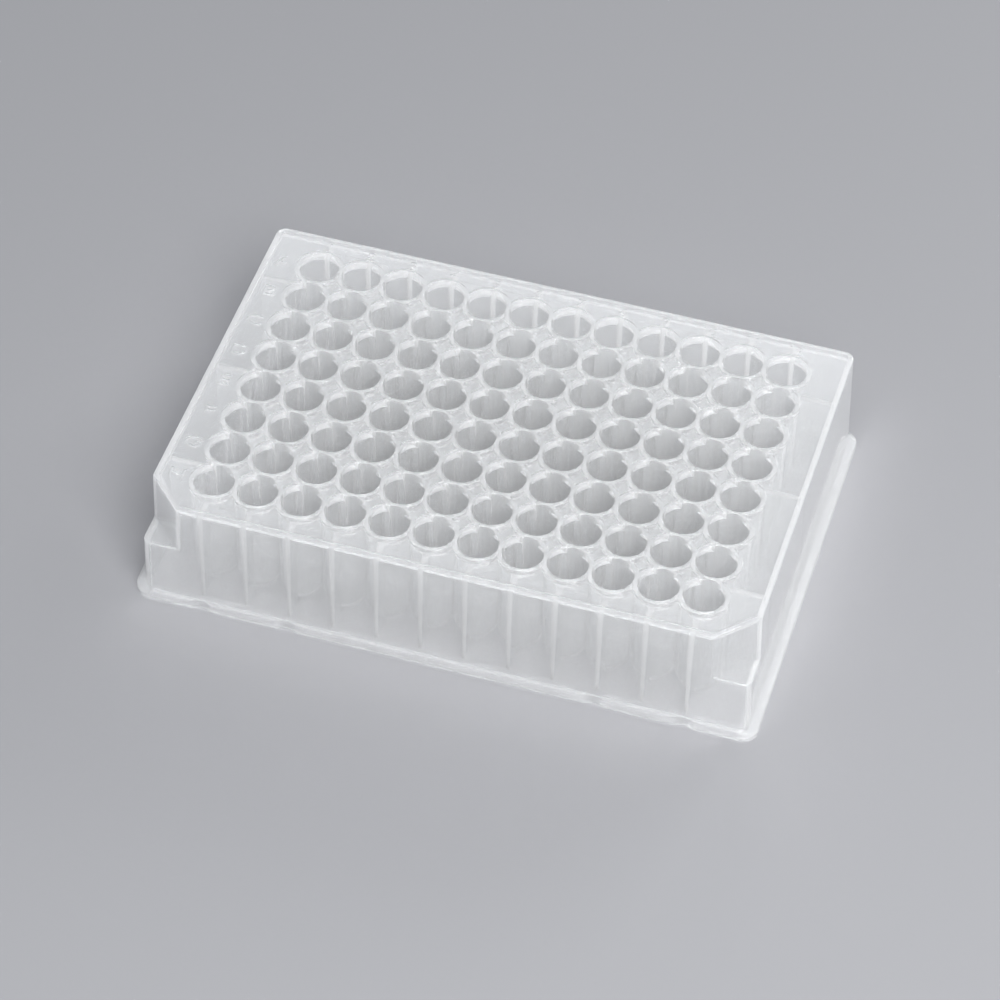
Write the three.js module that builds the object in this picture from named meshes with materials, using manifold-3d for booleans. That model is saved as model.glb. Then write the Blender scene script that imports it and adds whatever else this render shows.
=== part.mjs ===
// A deep well plate, moulded in one piece from natural polypropylene: a grid of round-bottomed wells
// hangs from a deck, inside an open-bottomed skirt that stands on a foot flange.
// Millimetres, +Z up. X runs from column 1 to the last column, Y from the last row up to row A.
// The origin is at the middle of the foot, on the plane that the plate stands on.

import * as THREE from "three";
import { ConvexGeometry } from "three/addons/geometries/ConvexGeometry.js";
import { mergeVertices } from "three/addons/utils/BufferGeometryUtils.js";
import Module from "manifold-3d";

const wasm = await Module();
wasm.setup();

// Well grid. The margins run from the first well's centre to the edge of the foot.
const COLUMNS = 12;
const ROWS = 8;
const PITCH = 9;
const FIRST_COLUMN_MARGIN = 14.38;
const FIRST_ROW_MARGIN = 11.24;

// Heights above the standing plane, and how far the lip and the deck lie below the plate's top.
const PLATE_HEIGHT = 26.6;
const LIP_DROP = 0.2;
const DECK_DROP = 0.9;
const LEDGE_HEIGHT = 14.65;
const FLANGE_HEIGHT = 2.25;
const WELL_CLEARANCE = 0.8;

// Walls. The septum is the thinnest plastic between two neighbouring wells.
const SKIRT_WALL = 1.2;
const DECK_THICKNESS = 1.2;
const WELL_WALL = 0.7;
const WELL_FLOOR = 0.9;
const WELL_SEPTUM = 0.8;

// Outline of the foot, and of the lip that stands inside it.
const FOOT_RADIUS = 3.2;
const FLANGE_EDGE = 0.4;
const LIP_INSET_ENDS = 2.38;
const LIP_INSET_SIDES = 1.79;
const BODY_RADIUS = 2;
const NOTCH_LEG = 7.5;

// Rims round the well mouths, wide enough to run into each other.
const RIM_WIDTH = 0.95;

// Recess under the foot, which drops over the lip of the plate below in a stack.
const STACK_DEPTH = 1.5;
const STACK_CLEARANCE = 0.3;

// Ribs between the outer wells and the skirt. They stop short of the recess.
const RIB_TOP_WIDTH = 1.3;
const RIB_END_WIDTH = 0.7;
const RIB_LIFT = 0.5;
const END_RIB_SPACING = 3; // rows between two ribs on the short sides

// Scoops in the front edge of the flange, at these columns and at the same ones from the far end.
const SCOOP_COLUMNS = [1, 3];
const SCOOP_WIDTH = 4.6;
const SCOOP_DEPTH = 0.8;

// Drafts that let the plate leave its mould, on the short sides, the long sides and the wells.
const END_DRAFT = THREE.MathUtils.degToRad(1.4);
const SIDE_DRAFT = THREE.MathUtils.degToRad(0.9);
const WELL_DRAFT = THREE.MathUtils.degToRad(0.5);

// How the round forms are faceted. A bore's facets lie inside the true circle and a tube's outside
// it, so the wall between them is never thinner than the true one.
const BORE_FACETS = { round: 12, end: 6, endSideOn: false, outside: false };
const TUBE_FACETS = { round: 8, end: 4, endSideOn: true, outside: true };
const RIM_FACETS = 8;
const SCOOP_FACETS = 16;
const CORNER_DIVISIONS = 3; // three.js cuts an arc into twice as many chords
const RIB_END_DIVISIONS = 1;

const MERGE_DISTANCE = 1e-4;
const OVERRUN = 1; // how far a cutter passes the face that it opens

const LAST_COLUMN_X = ((COLUMNS - 1) / 2) * PITCH;
const ROW_A_Y = ((ROWS - 1) / 2) * PITCH;
const FOOT_LENGTH = 2 * (LAST_COLUMN_X + FIRST_COLUMN_MARGIN);
const FOOT_WIDTH = 2 * (ROW_A_Y + FIRST_ROW_MARGIN);
const LIP_LENGTH = FOOT_LENGTH - 2 * LIP_INSET_ENDS;
const LIP_WIDTH = FOOT_WIDTH - 2 * LIP_INSET_SIDES;
const LIP_HEIGHT = PLATE_HEIGHT - LIP_DROP;
const DECK_HEIGHT = PLATE_HEIGHT - DECK_DROP;
const DECK_MIDDLE = DECK_HEIGHT - DECK_THICKNESS / 2;
const DECK_UNDERSIDE = DECK_HEIGHT - DECK_THICKNESS;
const WELL_RADIUS = (PITCH - WELL_SEPTUM) / 2;
const RIM_RADIUS = WELL_RADIUS + RIM_WIDTH;
const WELL_BOTTOM = WELL_CLEARANCE + WELL_FLOOR;
const RIB_BOTTOM = STACK_DEPTH + RIB_LIFT;

// ---- Solids ----------------------------------------------------------------------------------

// Turns a closed three.js geometry into a solid that can be joined and cut.
function solid(geometry) {
  geometry.deleteAttribute("normal");
  geometry.deleteAttribute("uv");
  const merged = mergeVertices(geometry, MERGE_DISTANCE);
  const corners = merged.index.array;
  const triangles = [];
  for (let i = 0; i < corners.length; i += 3) {
    const [a, b, c] = corners.slice(i, i + 3);
    if (a !== b && b !== c && c !== a) triangles.push(a, b, c);
  }
  const mesh = new wasm.Mesh({
    numProp: 3,
    vertProperties: new Float32Array(merged.attributes.position.array),
    triVerts: new Uint32Array(triangles),
  });
  return new wasm.Manifold(mesh);
}

function join(solids) {
  return solids.reduce((whole, piece) => whole.add(piece));
}

// A convex solid through level outlines, each given with its height.
function loft(...levels) {
  const corners = levels.flatMap(([outline, height]) => (
    outline.getPoints(CORNER_DIVISIONS).map(({ x, y }) => new THREE.Vector3(x, y, height))
  ));
  return solid(new ConvexGeometry(corners));
}

// Corners of a level polygon that stands for a circle. Its corners are on the circle, or its sides
// are if it lies outside. A side faces +X if sideOn is true, and a corner does if it isn't.
function ring(circle, height, facets, sideOn, outside) {
  const halfStep = Math.PI / facets;
  const radius = outside ? circle / Math.cos(halfStep) : circle;
  const corners = [];
  for (let corner = 0; corner < facets; corner += 1) {
    const angle = 2 * halfStep * corner + (sideOn ? halfStep : 0);
    corners.push(new THREE.Vector3(radius * Math.cos(angle), radius * Math.sin(angle), height));
  }
  return corners;
}

// A tapered round column with a ball end: mouthRadius at the top, its lowest point at bottom.
function roundEnded(mouthRadius, mouth, bottom, { round, end, endSideOn, outside }) {
  const slope = Math.tan(WELL_DRAFT);
  const ballRadius = (mouthRadius - (mouth - bottom) * slope) / (1 - slope);
  const ballMiddle = bottom + ballRadius;
  const lowRadius = ballRadius * Math.SQRT1_2; // of the circle half-way down the ball's lower half
  return solid(new ConvexGeometry([
    ...ring(mouthRadius, mouth, round, true, outside),
    ...ring(ballRadius, ballMiddle, round, true, outside),
    ...ring(lowRadius, ballMiddle - lowRadius, end, endSideOn, outside),
    new THREE.Vector3(0, 0, bottom),
  ]));
}

// ---- Outlines --------------------------------------------------------------------------------

function roundedRectangle(length, width, radius) {
  const x = length / 2 - radius;
  const y = width / 2 - radius;
  const outline = new THREE.Shape();
  outline.absarc(x, y, radius, 0, Math.PI / 2);
  outline.absarc(-x, y, radius, Math.PI / 2, Math.PI);
  outline.absarc(-x, -y, radius, Math.PI, 1.5 * Math.PI);
  outline.absarc(x, -y, radius, 1.5 * Math.PI, 2 * Math.PI);
  outline.closePath();
  return outline;
}

// The same, with the two corners beside the last row cut off straight.
function notchedRectangle(length, width, radius, leg) {
  const x = length / 2;
  const y = width / 2;
  const outline = new THREE.Shape();
  outline.absarc(x - radius, y - radius, radius, 0, Math.PI / 2);
  outline.absarc(-x + radius, y - radius, radius, Math.PI / 2, Math.PI);
  outline.lineTo(-x, -y + leg);
  outline.lineTo(-x + leg, -y);
  outline.lineTo(x - leg, -y);
  outline.lineTo(x, -y + leg);
  outline.closePath();
  return outline;
}

// The skirt's outline at a height, moved in by inset. It leans out downwards from the lip.
function skirtOutline(height, inset, notched) {
  const drop = LIP_HEIGHT - height;
  const length = LIP_LENGTH + 2 * (drop * Math.tan(END_DRAFT) - inset);
  const width = LIP_WIDTH + 2 * (drop * Math.tan(SIDE_DRAFT) - inset);
  const radius = BODY_RADIUS - inset;
  if (!notched) return roundedRectangle(length, width, radius);
  const leg = NOTCH_LEG - inset * (2 - Math.SQRT2);
  return notchedRectangle(length, width, radius, leg);
}

// ---- Skirt, lip and foot ---------------------------------------------------------------------

// The skirt's form, moved in by inset: full up to the ledges, and with its front corners cut off
// above them.
function skirtForm(inset, bottom, top) {
  const ledge = LEDGE_HEIGHT - inset;
  const level = (height, notched) => [skirtOutline(height, inset, notched), height];
  const lower = loft(level(bottom, false), level(ledge, false));
  const upper = loft(level(ledge, true), level(top, true));
  return lower.add(upper);
}

function flange() {
  const foot = roundedRectangle(FOOT_LENGTH, FOOT_WIDTH, FOOT_RADIUS);
  const length = FOOT_LENGTH - 2 * FLANGE_EDGE;
  const width = FOOT_WIDTH - 2 * FLANGE_EDGE;
  const top = roundedRectangle(length, width, FOOT_RADIUS - FLANGE_EDGE);
  const block = loft([foot, 0], [foot, FLANGE_HEIGHT - FLANGE_EDGE], [top, FLANGE_HEIGHT]);
  return block.subtract(scoops());
}

function scoops() {
  const radius = (SCOOP_WIDTH ** 2 / 4 + SCOOP_DEPTH ** 2) / (2 * SCOOP_DEPTH);
  const height = FLANGE_HEIGHT + 2 * OVERRUN;
  const cutter = new THREE.CylinderGeometry(radius, radius, height, SCOOP_FACETS);
  cutter.rotateX(Math.PI / 2);
  cutter.translate(0, SCOOP_DEPTH - radius - FOOT_WIDTH / 2, FLANGE_HEIGHT / 2);
  const scoop = solid(cutter);
  return join(SCOOP_COLUMNS.flatMap((column) => {
    const x = LAST_COLUMN_X - (column - 1) * PITCH;
    return [scoop.translate([x, 0, 0]), scoop.translate([-x, 0, 0])];
  }));
}

function stackRecess() {
  const length = LIP_LENGTH + 2 * STACK_CLEARANCE;
  const width = LIP_WIDTH + 2 * STACK_CLEARANCE;
  const outline = roundedRectangle(length, width, BODY_RADIUS + STACK_CLEARANCE);
  return loft([outline, -OVERRUN], [outline, STACK_DEPTH]);
}

// The shallow tray above the deck, inside the lip.
function deckTray() {
  const outline = skirtOutline(LIP_HEIGHT, SKIRT_WALL, true);
  return loft([outline, DECK_HEIGHT], [outline, LIP_HEIGHT + OVERRUN]);
}

// ---- Wells -----------------------------------------------------------------------------------

function onEveryWell(piece) {
  const copies = [];
  for (let row = 0; row < ROWS; row += 1) {
    for (let column = 0; column < COLUMNS; column += 1) {
      copies.push(piece.translate([column * PITCH - LAST_COLUMN_X, ROW_A_Y - row * PITCH, 0]));
    }
  }
  return join(copies);
}

// The outside of one well, from inside the deck down to its round end.
function wellTube() {
  return roundEnded(WELL_RADIUS + WELL_WALL, DECK_MIDDLE, WELL_CLEARANCE, TUBE_FACETS);
}

// The space inside one well.
function wellSpace() {
  const radius = WELL_RADIUS + OVERRUN * Math.tan(WELL_DRAFT);
  return roundEnded(radius, PLATE_HEIGHT + OVERRUN, WELL_BOTTOM, BORE_FACETS);
}

// The raised collars round the mouths: one flat slab, trimmed to the columns that stand in it.
function wellRims() {
  const column = solid(new ConvexGeometry([
    ...ring(RIM_RADIUS, DECK_UNDERSIDE, RIM_FACETS, true, true),
    ...ring(RIM_RADIUS, PLATE_HEIGHT + OVERRUN, RIM_FACETS, true, true),
  ]));
  const slab = new THREE.BoxGeometry(FOOT_LENGTH, FOOT_WIDTH, PLATE_HEIGHT - DECK_MIDDLE);
  slab.translate(0, 0, (PLATE_HEIGHT + DECK_MIDDLE) / 2);
  return solid(slab).intersect(onEveryWell(column));
}

// ---- Ribs ------------------------------------------------------------------------------------

// A tapered web with a round lower end, which runs outwards along +X.
function rib(inner, outer) {
  const half = RIB_TOP_WIDTH / 2;
  const end = RIB_END_WIDTH / 2;
  const outline = new THREE.Shape();
  outline.moveTo(-half, DECK_MIDDLE);
  outline.absarc(0, RIB_BOTTOM + end, end, Math.PI, 2 * Math.PI);
  outline.lineTo(half, DECK_MIDDLE);
  outline.closePath();
  const options = { depth: outer - inner, bevelEnabled: false, curveSegments: RIB_END_DIVISIONS };
  const web = new THREE.ExtrudeGeometry(outline, options);
  return web.rotateX(Math.PI / 2).rotateZ(Math.PI / 2).translate(inner, 0, 0);
}

// One rib at every column on the long sides and a few on the short sides, trimmed inside the skirt.
function ribs() {
  const pieces = [];
  for (const turn of [Math.PI / 2, -Math.PI / 2]) {
    for (let column = 0; column < COLUMNS; column += 1) {
      const x = column * PITCH - LAST_COLUMN_X;
      pieces.push(solid(rib(ROW_A_Y, FOOT_WIDTH / 2).rotateZ(turn).translate(x, 0, 0)));
    }
  }
  const endRibs = Math.floor(ROWS / END_RIB_SPACING) + 1;
  for (const turn of [0, Math.PI]) {
    for (let index = 0; index < endRibs; index += 1) {
      const y = (index - (endRibs - 1) / 2) * END_RIB_SPACING * PITCH;
      pieces.push(solid(rib(LAST_COLUMN_X, FOOT_LENGTH / 2).rotateZ(turn).translate(0, y, 0)));
    }
  }
  return join(pieces).intersect(skirtForm(SKIRT_WALL / 2, 0, DECK_HEIGHT));
}

// ---- The plate -------------------------------------------------------------------------------

function wellPlate() {
  const skirt = skirtForm(0, FLANGE_HEIGHT / 2, LIP_HEIGHT).add(flange());
  const inside = skirtForm(SKIRT_WALL, -OVERRUN, DECK_UNDERSIDE);
  const shell = skirt.subtract(inside).subtract(stackRecess()).subtract(deckTray());
  const body = join([shell, ribs(), onEveryWell(wellTube()), wellRims()]);
  const mesh = body.subtract(onEveryWell(wellSpace())).getMesh();
  const geometry = new THREE.BufferGeometry();
  geometry.setAttribute("position", new THREE.Float32BufferAttribute(mesh.vertProperties, 3));
  geometry.setIndex(Array.from(mesh.triVerts));
  geometry.computeVertexNormals();
  return geometry;
}

const polypropylene = new THREE.MeshStandardMaterial({
  color: 0xdfe4ea,
  roughness: 0.35,
  metalness: 0,
  transparent: true,
  opacity: 0.75,
  flatShading: true,
});

const plate = new THREE.Mesh(wellPlate(), polypropylene);
plate.name = "well_plate";

const group = new THREE.Group();
group.add(plate);

export default group;
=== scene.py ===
"""Looks of a deep well plate in natural polypropylene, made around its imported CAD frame.

The plate is one moulding, so it is one closed mesh that replaces the CAD node: the same form and
sizes, with its wells and edges round. The plate's sizes are in millimetres and become metres at the
end. The floor, lamps and camera are in metres.
"""
import math

import bmesh
import bpy
from mathutils import Matrix, Vector


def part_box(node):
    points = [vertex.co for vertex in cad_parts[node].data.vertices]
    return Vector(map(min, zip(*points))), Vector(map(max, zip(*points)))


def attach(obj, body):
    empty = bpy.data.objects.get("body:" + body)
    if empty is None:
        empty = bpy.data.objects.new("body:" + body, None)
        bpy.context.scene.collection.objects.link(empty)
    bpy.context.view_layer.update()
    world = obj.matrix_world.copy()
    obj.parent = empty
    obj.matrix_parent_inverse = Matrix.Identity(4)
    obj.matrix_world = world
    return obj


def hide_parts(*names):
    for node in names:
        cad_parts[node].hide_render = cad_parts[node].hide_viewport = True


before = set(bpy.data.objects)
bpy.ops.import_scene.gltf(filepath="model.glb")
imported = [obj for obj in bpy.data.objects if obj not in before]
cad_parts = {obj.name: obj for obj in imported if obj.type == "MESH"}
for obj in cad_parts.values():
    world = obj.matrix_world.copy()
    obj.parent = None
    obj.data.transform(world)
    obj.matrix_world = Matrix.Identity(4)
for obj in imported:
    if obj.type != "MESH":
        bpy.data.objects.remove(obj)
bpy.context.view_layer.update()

MM = 0.001
NODE = "well_plate"
low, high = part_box(NODE)

# Sizes that the CAD frame gives.
FOOT_LENGTH = (high.x - low.x) / MM
FOOT_WIDTH = (high.y - low.y) / MM
PLATE_HEIGHT = high.z / MM

# Well grid.
COLUMNS = 12
ROWS = 8
PITCH = 9

# Heights above the standing plane, and drops below the plate's top.
LIP_DROP = 0.2
DECK_DROP = 0.9
LEDGE_HEIGHT = 14.65
FLANGE_HEIGHT = 2.25
WELL_CLEARANCE = 0.8

# Walls.
SKIRT_WALL = 1.2
DECK_THICKNESS = 1.2
WELL_WALL = 0.7
WELL_FLOOR = 0.9
WELL_SEPTUM = 0.8

# Outlines.
FOOT_RADIUS = 3.2
LIP_INSET_ENDS = 2.38
LIP_INSET_SIDES = 1.79
BODY_RADIUS = 2
NOTCH_LEG = 7.5
RIM_WIDTH = 0.95
STACK_DEPTH = 1.5
STACK_CLEARANCE = 0.3

# Ribs from the outer wells to the skirt. Those of the short sides are this many pitches apart.
RIB_TOP_WIDTH = 1.3
RIB_END_WIDTH = 0.7
RIB_LIFT = 0.5
END_RIB_SPACING = 3

# Scoops in the flange's front edge, at these columns counted from either end. The overrun is how
# far the solid that cuts them runs past the flange's top.
SCOOP_COLUMNS = (1, 3)
SCOOP_WIDTH = 4.6
SCOOP_DEPTH = 0.8
SCOOP_OVERRUN = 0.01

# The fine parting line round the flange's edge. It is the widest place: the edge steps back by the
# step above it and at the foot, and by the undercut just below it.
PARTING_HEIGHT = 0.47 * FLANGE_HEIGHT
PARTING_STEP = 0.05
PARTING_UNDERCUT = 0.03

# Drafts of the short sides, the long sides and the wells.
END_SLOPE = math.tan(math.radians(1.4))
SIDE_SLOPE = math.tan(math.radians(0.9))
WELL_SLOPE = math.tan(math.radians(0.5))

# Faint marks on the deck: a step round the wells, a collar round each rim, and ejector pin marks,
# half a pitch inside these columns counted from either end.
STEP_HEIGHT = 0.06
STEP_REACH = 5.75
COLLAR_HEIGHT = 0.12
COLLAR_RADIUS = 5.35
PIN_COLUMNS = (1, 3, 5)
PIN_RADIUS = 1.4
PIN_HEIGHT = 0.11
PIN_Y = 38.6

# The raised letters and numbers of the grid. The stretch is along the plate, and the capital share
# is the height of a capital over the built-in font's size.
LABEL_HEIGHT = 0.35
LABEL_STRETCH = 1.35
LETTER_SIZE = 2.9
LETTER_X = -57.3
NUMBER_SIZE = 2.1
NUMBER_Y = 38.3
CAPITAL_SHARE = 0.73

# Round edges, too small for the CAD model.
LIP_EDGE = 0.3
RIM_EDGE = 0.16
LEDGE_EDGE = 0.25
FLANGE_EDGE = 0.4
FOOT_EDGE = 0.15

# How finely the round forms are divided.
BORE_SEGMENTS = 48
TUBE_SEGMENTS = 32
SCOOP_SEGMENTS = 96
BALL_STEPS = 6
CORNER_STEPS = 10
EDGE_STEPS = 3
LABEL_STEPS = 3

# How far a cutting or joining solid runs past the face it meets, how close two points of a label
# are one, and the angle in degrees past which an edge is sharp.
OVERRUN = 1
WELD_DISTANCE = 0.001
SHARP_ANGLE = 35

# How far light is followed. A ray deeper than the deepest bent one goes straight through the skin.
LIGHT_BOUNCES = 5
CLEAR_BOUNCES = 12
DEEPEST_BENT_RAY = 3

# The plastic's faint tint, how finely its gloss and its mould ripple change, per metre, and the
# ripple's height in millimetres.
TINT = (0.985, 0.993, 1, 1)
GLOSS_SCALE = 220
RIPPLE_SCALE = 900
RIPPLE_HEIGHT = 0.04

# The floor's half width, and how far below the plate it lies.
FLOOR_REACH = 3
FLOOR_DROP = 0.0001

# The camera: angles in degrees, then metres, and the lens in millimetres.
CAMERA_AZIMUTH = 16.657
CAMERA_ELEVATION = 47.017
CAMERA_ROLL = 0.763
CAMERA_DISTANCE = 0.7718
CAMERA_FOCUS = (0.0021, -0.0093, 0.015)
CAMERA_LENS = 140.08

LAST_COLUMN_X = (COLUMNS - 1) / 2 * PITCH
ROW_A_Y = (ROWS - 1) / 2 * PITCH
LIP_LENGTH = FOOT_LENGTH - 2 * LIP_INSET_ENDS
LIP_WIDTH = FOOT_WIDTH - 2 * LIP_INSET_SIDES
LIP_HEIGHT = PLATE_HEIGHT - LIP_DROP
DECK_HEIGHT = PLATE_HEIGHT - DECK_DROP
DECK_MIDDLE = DECK_HEIGHT - DECK_THICKNESS / 2
DECK_UNDERSIDE = DECK_HEIGHT - DECK_THICKNESS
WELL_RADIUS = (PITCH - WELL_SEPTUM) / 2
RIM_RADIUS = WELL_RADIUS + RIM_WIDTH
WELL_BOTTOM = WELL_CLEARANCE + WELL_FLOOR
RIB_BOTTOM = STACK_DEPTH + RIB_LIFT


# ---- Shapes: a list of corners and a list of faces --------------------------------------------

def arc(x, y, radius, start, end, steps):
    """Points on an arc, from one angle in degrees to another, with both ends."""
    angles = [math.radians(start + (end - start) * i / steps) for i in range(steps + 1)]
    return [(x + radius * math.cos(a), y + radius * math.sin(a)) for a in angles]


def rounded_rectangle(length, width, radius):
    """A rectangle with round corners."""
    x, y = length / 2 - radius, width / 2 - radius
    corners = ((x, y, 0), (-x, y, 90), (-x, -y, 180), (x, -y, 270))
    return [p for cx, cy, a in corners for p in arc(cx, cy, radius, a, a + 90, CORNER_STEPS)]


def notched_rectangle(length, width, radius, leg):
    """A rectangle with its back corners round and its front corners cut off straight."""
    x, y = length / 2, width / 2
    back = arc(x - radius, y - radius, radius, 0, 90, CORNER_STEPS)
    back += arc(radius - x, y - radius, radius, 90, 180, CORNER_STEPS)
    return back + [(-x, leg - y), (leg - x, -y), (x - leg, -y), (x, leg - y)]


def loft(levels):
    """A closed solid through level outlines with as many points each, from the bottom up."""
    corners = [(x, y, z) for outline, z in levels for x, y in outline]
    count, rows = len(levels[0][0]), len(levels)
    faces = [list(range(count))[::-1], list(range((rows - 1) * count, rows * count))]
    for row in range(rows - 1):
        for i in range(count):
            j = (i + 1) % count
            a, b = row * count, (row + 1) * count
            faces.append([a + i, a + j, b + j, b + i])
    return corners, faces


def lathe(profile, segments):
    """A closed solid of revolution. The profile runs from the axis at the bottom to it at the top."""
    inner = profile[1:-1]
    turn = 2 * math.pi / segments
    corners = [
        (r * math.cos(i * turn), r * math.sin(i * turn), z) for r, z in inner for i in range(segments)
    ]
    bottom, top = len(corners), len(corners) + 1
    corners += [(0, 0, profile[0][1]), (0, 0, profile[-1][1])]
    last = (len(inner) - 1) * segments
    faces = []
    for i in range(segments):
        j = (i + 1) % segments
        faces.append([bottom, j, i])
        faces.append([top, last + i, last + j])
        for row in range(0, last, segments):
            faces.append([row + i, row + j, row + segments + j, row + segments + i])
    return corners, faces


def place(shape, matrices):
    """Copies of a shape, which must lie clear of each other."""
    corners, faces = shape
    all_corners, all_faces = [], []
    for matrix in matrices:
        start = len(all_corners)
        all_corners += [matrix @ Vector(c) for c in corners]
        all_faces += [[start + i for i in face] for face in faces]
    return all_corners, all_faces


# ---- Solids: Blender objects that are joined and cut ------------------------------------------

def solid(shape, name="tool"):
    """A new object with a shape's corners and faces."""
    corners, faces = shape
    mesh = bpy.data.meshes.new(name)
    mesh.from_pydata([tuple(c) for c in corners], [], faces)
    piece = bpy.data.objects.new(name, mesh)
    bpy.context.scene.collection.objects.link(piece)
    return piece


def combine(base, tool, operation):
    """Joins base with tool or cuts it by tool, which is then removed."""
    modifier = base.modifiers.new("combine", "BOOLEAN")
    modifier.object = tool
    modifier.operation = operation
    modifier.solver = "MANIFOLD"
    apply_modifiers(base)
    bpy.data.objects.remove(tool)
    return base


def apply_modifiers(base):
    """Makes the result of an object's modifiers its own mesh."""
    depsgraph = bpy.context.evaluated_depsgraph_get()
    mesh = bpy.data.meshes.new_from_object(base.evaluated_get(depsgraph))
    base.modifiers.clear()
    base.data = mesh
    return base


def shade(body):
    """Smooth round forms, with flat faces that stay flat up to their round edges."""
    for polygon in body.data.polygons:
        polygon.use_smooth = True
    body.data.set_sharp_from_angle(angle=math.radians(SHARP_ANGLE))
    modifier = body.modifiers.new("normals", "WEIGHTED_NORMAL")
    modifier.keep_sharp = True
    return apply_modifiers(body)


def join(base, tool):
    return combine(base, tool, "UNION")


def cut(base, tool):
    return combine(base, tool, "DIFFERENCE")


# ---- Skirt, lip and foot ----------------------------------------------------------------------

def skirt_outline(height, inset, notched):
    """The skirt's outline at a height, moved in by inset. It leans out downwards from the lip."""
    drop = LIP_HEIGHT - height
    length = LIP_LENGTH + 2 * (drop * END_SLOPE - inset)
    width = LIP_WIDTH + 2 * (drop * SIDE_SLOPE - inset)
    radius = BODY_RADIUS - inset
    if not notched:
        return rounded_rectangle(length, width, radius)
    return notched_rectangle(length, width, radius, NOTCH_LEG - inset * (2 - math.sqrt(2)))


def edge(size):
    """Steps over a round edge, each as (how far in, how far below the top)."""
    return [(size - x, size - z) for x, z in arc(0, 0, size, 0, 90, EDGE_STEPS)]


def skirt_block(bottom, top, notched, rounding):
    """A stretch of the skirt's outer form, with a round top edge."""
    levels = [(skirt_outline(bottom, 0, notched), bottom)]
    for inward, below in edge(rounding):
        levels.append((skirt_outline(top - below, inward, notched), top - below))
    return solid(loft(levels), NODE + "_visual")


def skirt_space(bottom, top, notched):
    """The space inside a stretch of the skirt."""
    levels = [(skirt_outline(z, SKIRT_WALL, notched), z) for z in (bottom, top)]
    return solid(loft(levels))


def flange():
    """The foot flange, with a fine parting line half-way up its edge."""
    def outline(inset):
        return rounded_rectangle(FOOT_LENGTH - 2 * inset, FOOT_WIDTH - 2 * inset, FOOT_RADIUS - inset)

    step = PARTING_STEP
    levels = [(outline(inward + step), below) for inward, below in reversed(edge(FOOT_EDGE))]
    levels.append((outline(PARTING_UNDERCUT), PARTING_HEIGHT - step))
    levels.append((outline(0), PARTING_HEIGHT))
    levels.append((outline(step), PARTING_HEIGHT + step))
    for inward, below in edge(FLANGE_EDGE):
        levels.append((outline(step + inward), FLANGE_HEIGHT - below))
    return solid(loft(levels))


def scoops():
    """Upright columns that each bite a shallow arc of a stated width and depth out of the flange."""
    radius = (SCOOP_WIDTH ** 2 / 4 + SCOOP_DEPTH ** 2) / (2 * SCOOP_DEPTH)
    middle_y = SCOOP_DEPTH - radius - FOOT_WIDTH / 2
    circle = arc(0, middle_y, radius, 0, 360, SCOOP_SEGMENTS)[:-1]
    shape = loft([(circle, -OVERRUN), (circle, FLANGE_HEIGHT + SCOOP_OVERRUN)])
    xs = [LAST_COLUMN_X - (column - 1) * PITCH for column in SCOOP_COLUMNS]
    return solid(place(shape, [Matrix.Translation((side * x, 0, 0)) for x in xs for side in (1, -1)]))


def stack_recess():
    """The space under the foot that takes the lip of a plate below."""
    length, width = LIP_LENGTH + 2 * STACK_CLEARANCE, LIP_WIDTH + 2 * STACK_CLEARANCE
    outline = rounded_rectangle(length, width, BODY_RADIUS + STACK_CLEARANCE)
    return solid(loft([(outline, -OVERRUN), (outline, STACK_DEPTH)]))


def deck_tray():
    """The space above the deck, which opens out at the top to leave the lip a round edge."""
    levels = [(skirt_outline(LIP_HEIGHT, SKIRT_WALL, True), DECK_HEIGHT)]
    for inward, below in edge(LIP_EDGE):
        levels.append((skirt_outline(LIP_HEIGHT, SKIRT_WALL - inward, True), LIP_HEIGHT - below))
    levels.append((skirt_outline(LIP_HEIGHT, SKIRT_WALL - LIP_EDGE, True), LIP_HEIGHT + OVERRUN))
    return solid(loft(levels))


def skirt():
    """The outer walls with their flange, ledge, lip and deck, still without wells."""
    body = skirt_block(FLANGE_HEIGHT / 2, LEDGE_HEIGHT, False, LEDGE_EDGE)
    join(body, skirt_block(LEDGE_HEIGHT - OVERRUN, LIP_HEIGHT, True, LIP_EDGE))
    join(body, cut(flange(), scoops()))
    under_ledge = LEDGE_HEIGHT - SKIRT_WALL
    cut(body, skirt_space(-OVERRUN, under_ledge, False))
    cut(body, skirt_space(under_ledge - OVERRUN, DECK_UNDERSIDE, True))
    cut(body, stack_recess())
    cut(body, deck_tray())
    return body


# ---- Wells ------------------------------------------------------------------------------------

def well_places():
    """Four sets of well places, each with no two neighbours in it."""
    sets = {}
    for row in range(ROWS):
        for column in range(COLUMNS):
            spot = Matrix.Translation((column * PITCH - LAST_COLUMN_X, ROW_A_Y - row * PITCH, 0))
            sets.setdefault((row % 2, column % 2), []).append(spot)
    return list(sets.values())


def ball_end(mouth_radius, mouth, bottom):
    """The lower part of a tapered column's profile: the ball from its lowest point, then its side."""
    radius = (mouth_radius - (mouth - bottom) * WELL_SLOPE) / (1 - WELL_SLOPE)
    return arc(0, bottom + radius, radius, -90, 0, BALL_STEPS) + [(mouth_radius, mouth)]


def tube():
    """A well's outer form, up to the middle of the deck."""
    profile = ball_end(WELL_RADIUS + WELL_WALL, DECK_MIDDLE, WELL_CLEARANCE)
    return lathe(profile + [(0, DECK_MIDDLE)], TUBE_SEGMENTS)


def rim():
    """A well's raised rim, from the middle of the deck up, with a round outer edge."""
    profile = [(0, DECK_MIDDLE), (RIM_RADIUS, DECK_MIDDLE)]
    profile += [(RIM_RADIUS - inward, PLATE_HEIGHT - below) for inward, below in edge(RIM_EDGE)]
    return lathe(profile + [(0, PLATE_HEIGHT)], BORE_SEGMENTS)


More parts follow.
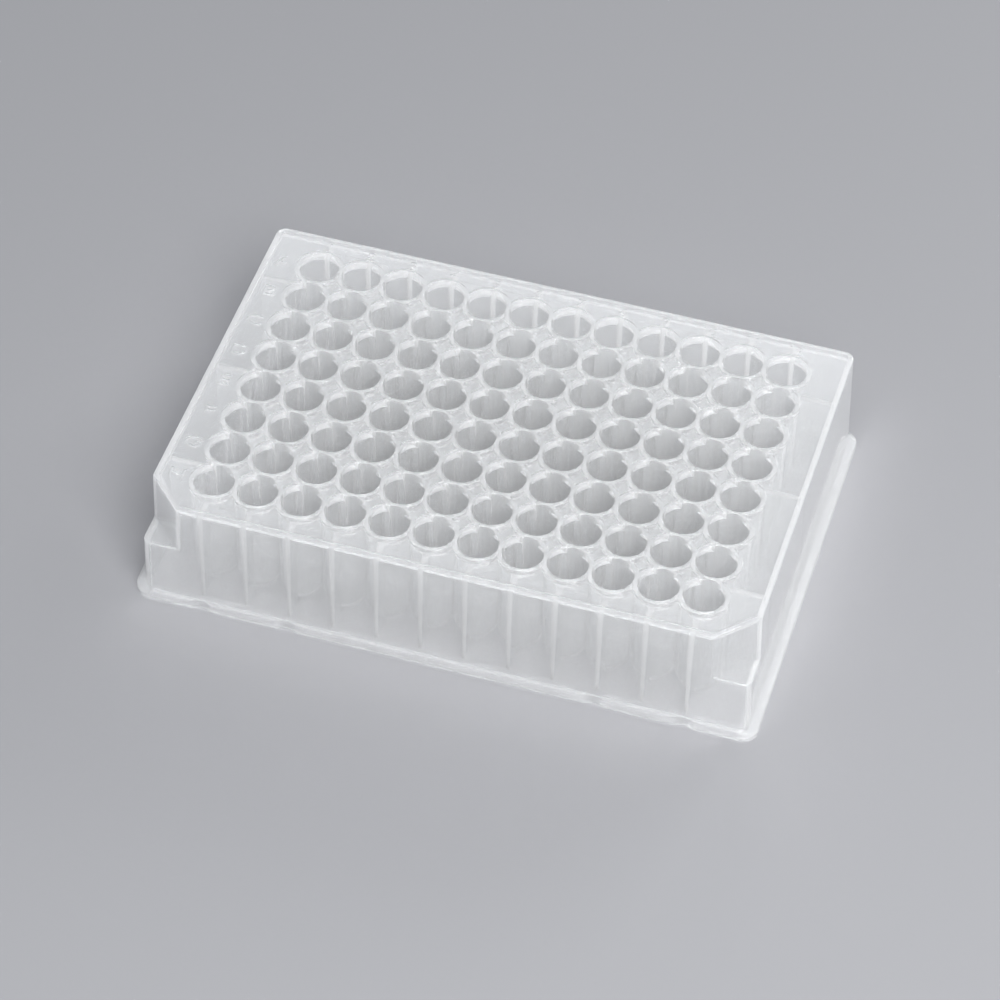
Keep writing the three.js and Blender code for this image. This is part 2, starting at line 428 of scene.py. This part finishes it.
def bore():
    """The space in a well, whose mouth opens out over the rim's round inner edge."""
    mouth = [(WELL_RADIUS + RIM_EDGE - x, PLATE_HEIGHT - RIM_EDGE + z)
             for x, z in arc(0, 0, RIM_EDGE, 0, 90, EDGE_STEPS)]
    profile = ball_end(WELL_RADIUS, PLATE_HEIGHT - RIM_EDGE, WELL_BOTTOM) + mouth[1:]
    above = PLATE_HEIGHT + OVERRUN
    return lathe(profile + [(WELL_RADIUS + RIM_EDGE, above), (0, above)], BORE_SEGMENTS)


# ---- Ribs -------------------------------------------------------------------------------------

def rib(inner, half_lip, slope):
    """A tapered web with a round lower end, out along +X to the middle of the skirt's wall."""
    half, end = RIB_TOP_WIDTH / 2, RIB_END_WIDTH / 2
    section = [(half, DECK_MIDDLE), (-half, DECK_MIDDLE)]
    section += arc(0, RIB_BOTTOM + end, end, 180, 360, 2 * EDGE_STEPS)
    reach = half_lip - SKIRT_WALL / 2
    corners = [(inner, y, z) for y, z in section]
    corners += [(reach + (LIP_HEIGHT - z) * slope, y, z) for y, z in section]
    count = len(section)
    faces = [list(range(count))[::-1], list(range(count, 2 * count))]
    faces += [[i, (i + 1) % count, count + (i + 1) % count, count + i] for i in range(count)]
    return corners, faces


def ribs():
    """The ribs of the long sides, and those of the short sides."""
    side = rib(ROW_A_Y + WELL_RADIUS, LIP_WIDTH / 2, SIDE_SLOPE)
    end = rib(LAST_COLUMN_X + WELL_RADIUS, LIP_LENGTH / 2, END_SLOPE)
    at_sides, at_ends = [], []
    for column in range(COLUMNS):
        x = column * PITCH - LAST_COLUMN_X
        for turn in (90, -90):
            turned = Matrix.Rotation(math.radians(turn), 4, "Z")
            at_sides.append(Matrix.Translation((x, 0, 0)) @ turned)
    end_ribs = ROWS // END_RIB_SPACING + 1
    for index in range(end_ribs):
        y = (index - (end_ribs - 1) / 2) * END_RIB_SPACING * PITCH
        for turn in (0, 180):
            turned = Matrix.Rotation(math.radians(turn), 4, "Z")
            at_ends.append(Matrix.Translation((0, y, 0)) @ turned)
    return solid(place(side, at_sides)), solid(place(end, at_ends))


# ---- Marks on the deck ------------------------------------------------------------------------

def disc(radius, height):
    """A disc that stands out of the deck by a height."""
    top = DECK_HEIGHT + height
    profile = [(0, DECK_MIDDLE), (radius, DECK_MIDDLE), (radius, top), (0, top)]
    return lathe(profile, TUBE_SEGMENTS)


def deck_step():
    """The low step round the block of wells."""
    length, width = 2 * (LAST_COLUMN_X + STEP_REACH), 2 * (ROW_A_Y + STEP_REACH)
    outline = rounded_rectangle(length, width, STEP_REACH)
    return solid(loft([(outline, DECK_MIDDLE), (outline, DECK_HEIGHT + STEP_HEIGHT)]))


def pin_marks():
    """Ejector pin marks along both long sides, half-way between two columns."""
    xs = [LAST_COLUMN_X - (column - 0.5) * PITCH for column in PIN_COLUMNS]
    spots = [(side * x, edge_sign * PIN_Y) for x in xs for side in (1, -1) for edge_sign in (1, -1)]
    places = [Matrix.Translation((x, y, 0)) for x, y in spots]
    return solid(place(disc(PIN_RADIUS, PIN_HEIGHT), places))


def character(text, size, x, y):
    """One label's mesh, from Blender's built-in font."""
    curve = bpy.data.curves.new("label", "FONT")
    curve.body = text
    curve.align_x, curve.align_y = "CENTER", "CENTER"
    curve.size = size / CAPITAL_SHARE
    curve.resolution_u = LABEL_STEPS
    curve.extrude = LABEL_HEIGHT
    piece = bpy.data.objects.new("label", curve)
    bpy.context.scene.collection.objects.link(piece)
    depsgraph = bpy.context.evaluated_depsgraph_get()
    mesh = bpy.data.meshes.new_from_object(piece.evaluated_get(depsgraph))
    mesh.transform(Matrix.Translation((x, y, DECK_HEIGHT)) @ Matrix.Diagonal((LABEL_STRETCH, 1, 1, 1)))
    bpy.data.objects.remove(piece)
    return mesh


def labels():
    """The raised row letters and column numbers, as one solid."""
    shapes = bmesh.new()
    for row in range(ROWS):
        letter = chr(ord("A") + row)
        shapes.from_mesh(character(letter, LETTER_SIZE, LETTER_X, ROW_A_Y - row * PITCH))
    for column in range(COLUMNS):
        x = column * PITCH - LAST_COLUMN_X
        shapes.from_mesh(character(str(column + 1), NUMBER_SIZE, x, NUMBER_Y))
    bmesh.ops.remove_doubles(shapes, verts=shapes.verts, dist=WELD_DISTANCE)
    mesh = bpy.data.meshes.new("labels")
    shapes.to_mesh(mesh)
    shapes.free()
    piece = bpy.data.objects.new("labels", mesh)
    bpy.context.scene.collection.objects.link(piece)
    return piece


# ---- The plate --------------------------------------------------------------------------------

def well_plate():
    """The whole plate as one closed mesh in metres."""
    body = skirt()
    for piece in ribs():
        join(body, piece)
    join(body, deck_step())
    join(body, pin_marks())
    join(body, labels())
    for shape in (tube(), disc(COLLAR_RADIUS, COLLAR_HEIGHT), rim()):
        for places in well_places():
            join(body, solid(place(shape, places)))
    for places in well_places():
        cut(body, solid(place(bore(), places)))
    body.data.transform(Matrix.Scale(MM, 4))
    body.data.materials.clear()
    return shade(body)


# ---- Material ---------------------------------------------------------------------------------

def moulded_skin(nodes, links, shader):
    """A satin skin: gloss that drifts over a few millimetres, and the faint ripple of a mould."""
    coordinates = nodes.new("ShaderNodeTexCoord")
    drift = nodes.new("ShaderNodeTexNoise")
    drift.inputs["Scale"].default_value = GLOSS_SCALE
    drift.inputs["Detail"].default_value = 1
    gloss = nodes.new("ShaderNodeMapRange")
    gloss.inputs["From Min"].default_value = 0.3
    gloss.inputs["From Max"].default_value = 0.7
    gloss.inputs["To Min"].default_value = 0.07
    gloss.inputs["To Max"].default_value = 0.14
    ripple = nodes.new("ShaderNodeTexNoise")
    ripple.inputs["Scale"].default_value = RIPPLE_SCALE
    ripple.inputs["Detail"].default_value = 1
    bump = nodes.new("ShaderNodeBump")
    bump.inputs["Strength"].default_value = 0.2
    bump.inputs["Distance"].default_value = RIPPLE_HEIGHT * MM
    links.new(coordinates.outputs["Object"], drift.inputs["Vector"])
    links.new(coordinates.outputs["Object"], ripple.inputs["Vector"])
    links.new(drift.outputs[0], gloss.inputs["Value"])
    links.new(ripple.outputs[0], bump.inputs["Height"])
    links.new(gloss.outputs["Result"], shader.inputs["Roughness"])
    links.new(bump.outputs["Normal"], shader.inputs["Normal"])


def clear_for_lit_and_deep_rays(nodes, links, shader):
    """The skin, but clear to rays from lamps and to rays that have turned a few times."""
    path = nodes.new("ShaderNodeLightPath")
    deep = nodes.new("ShaderNodeMath")
    deep.operation = "GREATER_THAN"
    deep.inputs[1].default_value = DEEPEST_BENT_RAY + 0.5
    either = nodes.new("ShaderNodeMath")
    either.operation = "MAXIMUM"
    clear = nodes.new("ShaderNodeBsdfTransparent")
    mix = nodes.new("ShaderNodeMixShader")
    links.new(path.outputs["Ray Depth"], deep.inputs[0])
    links.new(path.outputs["Is Shadow Ray"], either.inputs[0])
    links.new(deep.outputs["Value"], either.inputs[1])
    links.new(either.outputs["Value"], mix.inputs["Fac"])
    links.new(shader.outputs["BSDF"], mix.inputs[1])
    links.new(clear.outputs["BSDF"], mix.inputs[2])
    return mix


def polypropylene():
    """Natural polypropylene: clear walls that are faintly milky inside, under a satin skin."""
    material = bpy.data.materials.new("natural_polypropylene")
    material.use_nodes = True
    nodes, links = material.node_tree.nodes, material.node_tree.links
    output = nodes["Material Output"]
    shader = nodes["Principled BSDF"]
    shader.inputs["Base Color"].default_value = TINT
    shader.inputs["Transmission Weight"].default_value = 0.93
    shader.inputs["IOR"].default_value = 1.25
    shader.inputs["Coat Weight"].default_value = 1
    shader.inputs["Coat Roughness"].default_value = 0.08
    shader.inputs["Coat IOR"].default_value = 1.5
    moulded_skin(nodes, links, shader)
    skin = clear_for_lit_and_deep_rays(nodes, links, shader)
    milk = nodes.new("ShaderNodeVolumeScatter")
    milk.inputs["Color"].default_value = TINT
    milk.inputs["Density"].default_value = 350
    milk.inputs["Anisotropy"].default_value = 0.3
    links.new(skin.outputs["Shader"], output.inputs["Surface"])
    links.new(milk.outputs["Volume"], output.inputs["Volume"])
    return material


def floor_material():
    """A plain pale floor with a soft sheen."""
    material = bpy.data.materials.new("floor")
    material.use_nodes = True
    shader = material.node_tree.nodes["Principled BSDF"]
    shader.inputs["Base Color"].default_value = (0.3, 0.3, 0.313, 1)
    shader.inputs["Roughness"].default_value = 0.6
    return material


# ---- Stage, light and camera ------------------------------------------------------------------

def floor():
    """A level square, far larger than the view."""
    mesh = bpy.data.meshes.new("floor")
    signs = ((-1, -1), (1, -1), (1, 1), (-1, 1))
    corners = [(x * FLOOR_REACH, y * FLOOR_REACH, -FLOOR_DROP) for x, y in signs]
    mesh.from_pydata(corners, [], [(0, 1, 2, 3)])
    piece = bpy.data.objects.new("floor", mesh)
    bpy.context.scene.collection.objects.link(piece)
    piece.data.materials.append(floor_material())
    return piece


def softbox(name, position, size, power):
    """A rectangular lamp that faces the middle of the floor."""
    light = bpy.data.lights.new(name, "AREA")
    light.shape = "RECTANGLE"
    light.size, light.size_y = size
    light.energy = power
    lamp = bpy.data.objects.new(name, light)
    lamp.location = position
    lamp.rotation_euler = (-Vector(position)).to_track_quat("-Z", "Y").to_euler()
    bpy.context.scene.collection.objects.link(lamp)


def studio():
    """Soft light from all round, a large lamp at the front and a small one at the back."""
    world = bpy.data.worlds.new("studio")
    world.use_nodes = True
    background = world.node_tree.nodes["Background"]
    background.inputs["Color"].default_value = (0.9, 0.94, 1, 1)
    background.inputs["Strength"].default_value = 0.45
    bpy.context.scene.world = world
    softbox("key", position=(0.35, -0.5, 0.75), size=(0.6, 0.6), power=12)
    softbox("back", position=(0.45, 0.9, 0.35), size=(0.5, 0.3), power=4)


def camera():
    """A camera that looks at its focus from the front right, well above the plate."""
    azimuth, elevation, roll = map(math.radians, (CAMERA_AZIMUTH, CAMERA_ELEVATION, CAMERA_ROLL))
    back = Vector((
        math.sin(azimuth) * math.cos(elevation),
        -math.cos(azimuth) * math.cos(elevation),
        math.sin(elevation),
    ))
    right = Vector((0, 0, 1)).cross(back).normalized()
    up = back.cross(right)
    side = math.cos(roll) * right + math.sin(roll) * up
    top = math.cos(roll) * up - math.sin(roll) * right
    data = bpy.data.cameras.new("camera")
    data.lens = CAMERA_LENS
    view = bpy.data.objects.new("camera", data)
    turned = Matrix((side, top, back)).transposed().to_4x4()
    view.matrix_world = Matrix.Translation(Vector(CAMERA_FOCUS) + CAMERA_DISTANCE * back) @ turned
    bpy.context.scene.collection.objects.link(view)
    bpy.context.scene.camera = view


camera()
studio()
floor()

plate = well_plate()
plate.data.materials.append(polypropylene())
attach(plate, "root")
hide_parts(NODE)

light_paths = bpy.context.scene.cycles
light_paths.blur_glossy = 0
light_paths.use_light_tree = False
light_paths.transparent_max_bounces = CLEAR_BOUNCES
bpy.context.scene.view_settings.view_transform = "Standard"
for kind in ("max", "transmission", "glossy", "diffuse", "volume"):
    setattr(light_paths, kind + "_bounces", LIGHT_BOUNCES)
